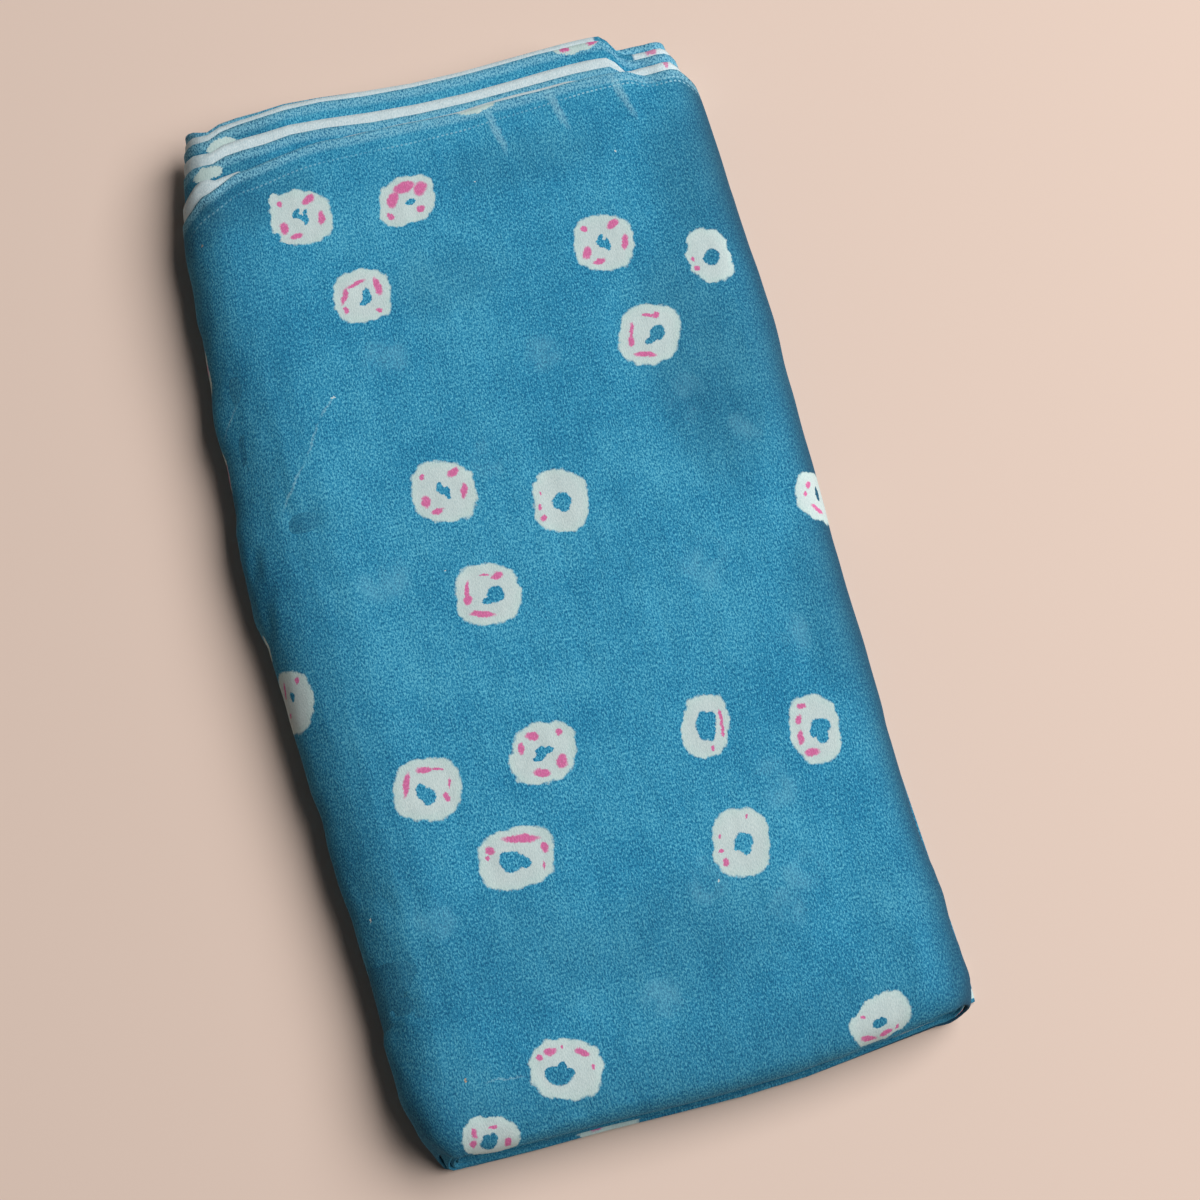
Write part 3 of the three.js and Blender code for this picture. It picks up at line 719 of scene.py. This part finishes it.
# Patches where the blue is darker: along, across, half sizes, how much. Those at the right side carry the painted
# shade of the right fold further in.
DARK_PATCHES = [(106, 105, 44, 95, 0.34), (-20, 185, 46, 26, 0.13), (40, 245, 60, 22, 0.15), (-75, -190, 50, 50, 0.16), (12, -205, 80, 44, 0.20), (120, -215, 26, 40, 0.10),
         (131, 205, 34, 62, 0.30), (134, -50, 30, 62, 0.22), (-105, 262, 42, 26, 0.26)]
# Painted shade at the left turns of the inner wraps: along, across, half sizes.
SHADES = [(500, 272, 46, 48), (1124, 298, 44, 46), (-146, 262, 26, 30)]
REPEAT = 356.0         # the print repeats along the cloth
REPEAT_LEFT = -191.0   # left limit of the repeat that shows on top


def cloth_material():
    mat = bpy.data.materials.new("mulmul_print")
    mat.use_nodes = True
    t = mat.node_tree
    t.nodes.clear()
    g = Graph(t)
    m, v = g.math, g.vec
    uv = g.uv("print")
    edge = g.split(g.uv("edge"))
    across = g.split(uv)
    half = (0.5, 0.5, 0.5)
    # thread drift, bleeding dye and ragged threads, so that no line of the print is ruled
    drift = v("SUBTRACT", g.noise(uv, 26.0, 1.0, 0.5, "Color"), half)
    bleed = v("SUBTRACT", g.noise(uv, 150.0, 1.0, 0.6, "Color"), half)
    ragged = v("SUBTRACT", g.noise(uv, 800.0, 1.0, 0.7, "Color"), half)
    # the repeat: whole number of the tile, and the place inside it
    tile_x = m("SUBTRACT", across[0], REPEAT_LEFT * MM)
    tile = m("FLOOR", m("DIVIDE", tile_x, REPEAT * MM))
    local = m("ADD", m("SUBTRACT", tile_x, m("MULTIPLY", tile, REPEAT * MM)), REPEAT_LEFT * MM)
    odd = m("MODULO", m("ABSOLUTE", tile), 2.0)
    is_a = m("LESS_THAN", edge[1], 0.25)
    # other tiles carry the print turned end for end; the inner ply carries it shifted
    q = across[1]
    q_fold = m("MULTIPLY_ADD", is_a, 0.57, q)
    q_flip = m("SUBTRACT", -0.020, q_fold)
    q_use = m("ADD", m("MULTIPLY", m("SUBTRACT", q_flip, q_fold), odd), q_fold)
    place = g.join(local, q_use, 1.0)
    warped = v("MULTIPLY_ADD", drift, (0.0020, 0.0020, 0), place)
    warped = v("MULTIPLY_ADD", bleed, (0.0040, 0.0040, 0), warped)
    warped = v("MULTIPLY_ADD", ragged, (0.0013, 0.0013, 0), warped)
    fine = v("MULTIPLY_ADD", bleed, (0.0022, 0.0022, 0), place)
    fine = v("MULTIPLY_ADD", ragged, (0.0014, 0.0014, 0), fine)
    whole = v("MULTIPLY_ADD", ragged, (0.0022, 0.0022, 0), g.join(across[0], q, 1.0))
    whole = v("MULTIPLY_ADD", bleed, (0.0030, 0.0030, 0), whole)

    # the chart: rings, then what lies in and beside each of them
    spot = {}
    least = None
    for name, x, y, w, h, spin, lean, ax, ay, bx, by in RINGS:
        det = ax * by - bx * ay
        spot[name] = ((x, y), ((ax, bx), (ay, by)), ((by / det, -bx / det), (-ay / det, ax / det)))
        least = g.least(least, g.square_spot(warped, (x * MM, y * MM), spin, (w * MM, h * MM), spot[name][2], lean))

    def charted(low, vector, rows):
        """The nearest of the round spots laid out round their rings' middles."""
        for name, dx, dy, w, h, spin in rows:
            (x, y), way, back = spot[name]
            x, y = x + way[0][0] * dx + way[0][1] * dy, y + way[1][0] * dx + way[1][1] * dy
            low = g.least(low, g.round_spot(vector, (x * MM, y * MM), spin, (w * MM, h * MM), back))
        return low

    def free(low, vector, rows):
        for x, y, w, h in rows:
            low = g.least(low, g.round_spot(vector, (x * MM, y * MM), 0, (w * MM, h * MM)))
        return low

    least = charted(least, warped, LOBES)
    cut = charted(None, fine, NICKS)
    at_edge = free(None, whole, EDGE_RINGS)
    ring = g.ramp(m("MINIMUM", least, at_edge), 0.82, 1.06, 1.0, 0.0)
    ring = m("MULTIPLY", ring, g.ramp(cut, 0.8, 1.2))
    pink = g.ramp(free(charted(None, fine, PINKS), whole, EDGE_PINKS), 0.55, 1.5, 1.0, 0.0)
    heart = g.ramp(charted(None, fine, BLUES), 0.78, 1.18, 1.0, 0.0)

    # grain of the thread: a fine plain weave, longer across than along
    warp_way = v("MULTIPLY", uv, (1.0, 0.42, 1.0))
    grain = g.noise(warp_way, 1450.0, 1.0, 0.7)
    speck = g.noise(uv, 900.0, 1.0, 0.6)
    thread = m("MULTIPLY_ADD", grain, 0.62, m("MULTIPLY", speck, 0.38))
    slub = g.noise(v("MULTIPLY", uv, (1.0, 0.035, 1.0)), 950.0, 1.0, 0.5)
    cloud = g.noise(uv, 15.0, 2.0, 0.55)
    cloud2 = g.noise(v("ADD", uv, (3.1, 1.7, 0)), 52.0, 2.0, 0.6)

    deep, base, light = srgb("125A81", 1.2), srgb("287DA1", 1.2), srgb("57A6BF", 1.2)
    tone = m("ADD", m("MULTIPLY", m("SUBTRACT", cloud, 0.5), 0.7), m("MULTIPLY", m("SUBTRACT", cloud2, 0.5), 0.45))
    tone = m("MULTIPLY_ADD", m("SUBTRACT", thread, 0.5), 4.6, tone)
    tone = m("MULTIPLY_ADD", m("SUBTRACT", slub, 0.5), 0.45, tone)
    ground = g.mix(g.ramp(tone, -0.75, 0.0, 0.0, 1.0, soft=False), deep, base)
    ground = g.mix(g.ramp(tone, 0.0, 0.8, 0.0, 1.0, soft=False), ground, light)
    # painted shade: the blue darkens toward the rounded left and right folds and toward the fold end, where the bundle
    # turns away from the light; the darker patches and the painted shade at the inner wraps' left turns are multiplied
    # in
    shade_and_patch_gain = m("MULTIPLY", g.ramp(across[0], 0.124, 0.152, 1.0, 0.20), g.ramp(across[0], -0.088, -0.138, 1.0, 0.77))
    shade_and_patch_gain = m("MAXIMUM", shade_and_patch_gain, g.ramp(across[0], 0.215, 0.260))
    shade_and_patch_gain = m("MULTIPLY", shade_and_patch_gain, g.ramp(q, -0.215, -0.275, 1.0, 0.74))
    dark_patches = None
    # darker patches; those at the right side are painted shade of the right fold
    for x, y, w, h, darkness in DARK_PATCHES:
        patch = g.ramp(g.round_spot(place, (x * MM, y * MM), 0, (w * MM, h * MM)), 0.0, 1.0, 1.0 - darkness, 1.0)
        dark_patches = patch if dark_patches is None else m("MULTIPLY", dark_patches, patch)
    shade_and_patch_gain = m("MULTIPLY", shade_and_patch_gain, m("MAXIMUM", dark_patches, m("MINIMUM", m("ABSOLUTE", tile), 1.0)))
    # painted shade at the left turns of the inner wraps
    shade_and_patch_gain = m("MULTIPLY", shade_and_patch_gain, g.ramp(free(None, whole, SHADES), 0.2, 1.0, 0.66, 1.0))
    # painted shade: where the gain drops, the blue is mixed toward this dark shade colour
    ground = g.mix(shade_and_patch_gain, srgb("1B3A50"), ground)
    # paler clouds where rings of the ply below show through the sheer cloth
    shown = g.ramp(free(None, warped, [(x, y, w, w * 1.05) for x, y, w in GHOSTS]), 0.25, 1.15, 1.0, 0.0)
    shown = m("MULTIPLY", shown, m("MULTIPLY", g.ramp(cloud2, 0.3, 0.7), 0.24))
    ground = g.mix(shown, ground, srgb("6FB0C8"))
    # painted highlight: pale lines along the sharp crease ridges
    ridge_reach = None
    for x0, y0, x1, y1, wide in CREASE_HIGHLIGHTS:
        length = math.hypot(x1 - x0, y1 - y0)
        spin = math.degrees(math.atan2(y1 - y0, x1 - x0))
        ridge_reach = g.least(ridge_reach, g.round_spot(whole, ((x0 + x1) / 2 * MM, (y0 + y1) / 2 * MM), spin, (length / 2 * MM, wide * MM)))
    crease_highlight = m("MULTIPLY_ADD", g.ramp(ridge_reach, 0.0, 0.12, 1.0, 0.0), 0.10, m("MULTIPLY", g.ramp(ridge_reach, 0.0, 1.0, 1.0, 0.0), 0.42))
    crease_highlight = m("MULTIPLY", crease_highlight, g.ramp(thread, 0.30, 0.62, 0.25, 1.0))
    ground = g.mix(crease_highlight, ground, srgb("9CCBD8"))
    ground = g.mix(g.ramp(free(None, whole, LINT), 0.6, 1.2, 0.85, 0.0), ground, srgb("D6DEDA"))
    ground = g.mix(g.ramp(free(None, whole, STRAW), 0.6, 1.2, 0.8, 0.0), ground, srgb("B59A78"))

    # selvedges: a white unprinted margin on the inner ply, pin holes on the outer
    wobble = m("MULTIPLY", m("SUBTRACT", g.noise(uv, 34.0, 2.0, 0.5), 0.5), 0.0012)
    reach = m("ADD", edge[0], wobble)
    white = m("ADD", g.ramp(across[0], -0.118, -0.140, 0.0, 0.0045), SELVEDGE_WHITE * MM)
    margin = m("MULTIPLY", g.ramp(m("SUBTRACT", reach, white), -0.0003, 0.0003, 1.0, 0.0), is_a)
    gap = g.ramp(m("ABSOLUTE", m("SUBTRACT", across[0], 1.3585)), 0.0085, 0.0105)
    margin = m("MULTIPLY", margin, gap)
    is_b = g.ramp(edge[1], 0.75, 0.9)
    dots_x = g.ramp(m("ABSOLUTE", m("SUBTRACT", m("FRACT", m("MULTIPLY", across[0], 1 / 0.0026)), 0.5)), 0.16, 0.34, 1.0, 0.0)
    row_at = m("ADD", g.ramp(across[0], -0.020, 0.110, 0.0050, 0.0, soft=False), 0.0077)
    dot_row = g.ramp(m("ABSOLUTE", m("SUBTRACT", reach, row_at)), 0.0002, 0.0007, 1.0, 0.0)
    dot_row2 = g.ramp(m("ABSOLUTE", m("SUBTRACT", reach, 0.0050)), 0.0002, 0.0006, 1.0, 0.0)
    dot_row2 = m("MULTIPLY", dot_row2, g.ramp(across[0], 0.085, 0.105))
    outer = m("MULTIPLY", is_b, m("LESS_THAN", across[0], 0.22))
    holes = m("MULTIPLY", m("MULTIPLY", dots_x, m("MAXIMUM", dot_row, dot_row2)), outer)
    holes = m("MULTIPLY", holes, m("MULTIPLY", g.ramp(cloud2, 0.36, 0.62, 0.25, 1.0), g.ramp(across[0], -0.06, 0.10, 0.42, 0.85)))
    band = m("MULTIPLY", g.ramp(reach, 0.004, 0.0075, 1.0, 0.0), is_b)
    lit = m("MULTIPLY", band, g.ramp(thread, 0.36, 0.62, 0.05, 0.75))
    ground = g.mix(lit, ground, srgb("86C0D4"))
    ground = g.mix(holes, ground, srgb("9CCBDA"))

    pale = g.mix(g.ramp(m("MULTIPLY_ADD", thread, 0.75, m("MULTIPLY", cloud2, 0.25)), 0.28, 0.70, 0.0, 1.0, soft=False), srgb("A9C3C3"), srgb("C6DAD7"))
    selvedge = g.mix(g.ramp(thread, 0.30, 0.68, 0.0, 1.0, soft=False), srgb("B2C8D0"), srgb("D2E0E4"))
    pinkish = g.mix(g.ramp(thread, 0.3, 0.7, 0.0, 1.0, soft=False), srgb("BC4484"), srgb("D880AE"))
    selvedge = g.mix(g.ramp(free(None, whole, MARGIN_PINKS), 0.5, 1.4, 0.8, 0.0), selvedge, pinkish)
    blush = m("MULTIPLY", g.ramp(m("SUBTRACT", least, m("MULTIPLY", cloud2, 0.2)), 0.15, 0.9, 1.0, 0.0), 0.10)
    inside = g.mix(blush, pale, srgb("DDB6CC"))
    inside = g.mix(m("MULTIPLY", pink, g.ramp(thread, 0.22, 0.5, 0.72, 1.0)), inside, pinkish)
    inside = g.mix(heart, inside, ground)

    # weave relief, read in the cloth's own coordinates
    bump = g.node("ShaderNodeBump")
    bump.inputs["Strength"].default_value = 0.45
    bump.inputs["Distance"].default_value = 0.0003
    g.put(bump.inputs["Height"], grain)
    crush = g.node("ShaderNodeBump")
    crush.inputs["Strength"].default_value = 0.35
    crush.inputs["Distance"].default_value = 0.0016
    g.put(crush.inputs["Height"], g.noise(v("MULTIPLY", uv, (1, 0.6, 1)), 90.0, 1.0, 0.5))
    g.put(crush.inputs["Normal"], bump.outputs[0])

    def skin(colour):
        b = g.node("ShaderNodeBsdfPrincipled")
        g.put(b.inputs["Base Color"], colour)
        b.inputs["Roughness"].default_value = 0.9
        b.inputs["Specular IOR Level"].default_value = 0.15
        b.inputs["Sheen Weight"].default_value = 0.03
        b.inputs["Sheen Roughness"].default_value = 0.4
        b.inputs["Sheen Tint"].default_value = (0.75, 0.9, 1.0, 1.0)
        g.put(b.inputs["Normal"], crush.outputs[0])
        return b.outputs[0]

    def either(fac, a, b):
        n = g.node("ShaderNodeMixShader")
        g.put(n.inputs[0], fac)
        g.put(n.inputs[1], a)
        g.put(n.inputs[2], b)
        return n.outputs[0]

    cloth = either(ring, skin(ground), skin(inside))
    cloth = either(margin, cloth, skin(selvedge))
    out = g.node("ShaderNodeOutputMaterial")
    g.put(out.inputs["Surface"], cloth)
    return mat


# ---- the scene -------------------------------------------------------------------
cloth, triangles = build_cloth()
print("cloth triangles", triangles)
cloth.data.materials.append(cloth_material())
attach(cloth, "root")
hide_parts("cloth")


def plane(name, size, z):
    me = bpy.data.meshes.new(name)
    s = size / 2
    me.from_pydata([(-s, -s, z), (s, -s, z), (s, s, z), (-s, s, z)], [], [(0, 1, 2, 3)])
    ob = bpy.data.objects.new(name, me)
    bpy.context.scene.collection.objects.link(ob)
    return ob


floor = plane("floor", 8.0, 0.0)
fmat = bpy.data.materials.new("pale_floor")
fmat.use_nodes = True
fb = fmat.node_tree.nodes["Principled BSDF"]
fb.inputs["Base Color"].default_value = srgb("DCC6B9")
fb.inputs["Roughness"].default_value = 0.9
fb.inputs["Specular IOR Level"].default_value = 0.15
floor.data.materials.append(fmat)

# camera: tilted from overhead, seen from the fold end and turned on the bundle
TILT, TURN, FOCAL = math.radians(16.5), math.radians(15.2), 3200.0
RISE = 1646.8
foot = Vector((-0.01135 * RISE, 0.3025 * RISE))
c, s = math.cos(TURN), math.sin(TURN)


def to_frame(x, y):
    """From the camera's floor axes to the shared frame, a direction."""
    return x * c + y * s, -x * s + y * c


cx, cy = to_frame(-foot.x, -foot.y)
cam_data = bpy.data.cameras.new("camera")
cam_data.sensor_width = 36.0
cam_data.lens = FOCAL / 1200 * 36.0
cam_data.clip_end = 20
cam = bpy.data.objects.new("camera", cam_data)
bpy.context.scene.collection.objects.link(cam)
look = Vector((*to_frame(0, math.sin(TILT)), -math.cos(TILT)))
right = Vector((*to_frame(1, 0), 0))
up = right.cross(look)
cam.matrix_world = Matrix((
    (right.x, up.x, -look.x, (cx + SHIFT[0]) * MM),
    (right.y, up.y, -look.y, (cy + SHIFT[1]) * MM),
    (right.z, up.z, -look.z, (RISE + 42) * MM),
    (0, 0, 0, 1),
))
bpy.context.scene.camera = cam


def soft_box(name, lean_right, lean_up, distance, across, along, power, colour):
    """A box light leaning from overhead, in degrees on the picture's axes; its long side runs up the picture."""
    aim = Vector((math.sin(math.radians(lean_right)), math.sin(math.radians(lean_up)), 1.0)).normalized()
    data = bpy.data.lights.new(name, "AREA")
    data.shape = "RECTANGLE"
    data.size, data.size_y = across, along
    data.energy = power
    data.color = colour
    ob = bpy.data.objects.new(name, data)
    bpy.context.scene.collection.objects.link(ob)
    back = Vector((*to_frame(aim.x, aim.y), aim.z))
    long_way = Vector((*to_frame(0, 1), 0))
    side = long_way.cross(back).normalized()
    long_way = back.cross(side)
    at = back * distance
    ob.matrix_world = Matrix((
        (side.x, long_way.x, back.x, at.x), (side.y, long_way.y, back.y, at.y), (side.z, long_way.z, back.z, at.z), (0, 0, 0, 1),
    ))


soft_box("soft_box", 50, 15, 4.4, 3.4, 4.4, 299.0, (1.0, 0.985, 0.965))

world = bpy.data.worlds.new("studio")
bpy.context.scene.world = world
world.use_nodes = True
bg = world.node_tree.nodes["Background"]
bg.inputs[0].default_value = (1.0, 0.985, 0.97, 1)
bg.inputs[1].default_value = 0.045

bpy.context.scene.view_settings.view_transform = "Standard"
bpy.context.scene.view_settings.look = "None"
bpy.context.scene.view_settings.exposure = 0.0
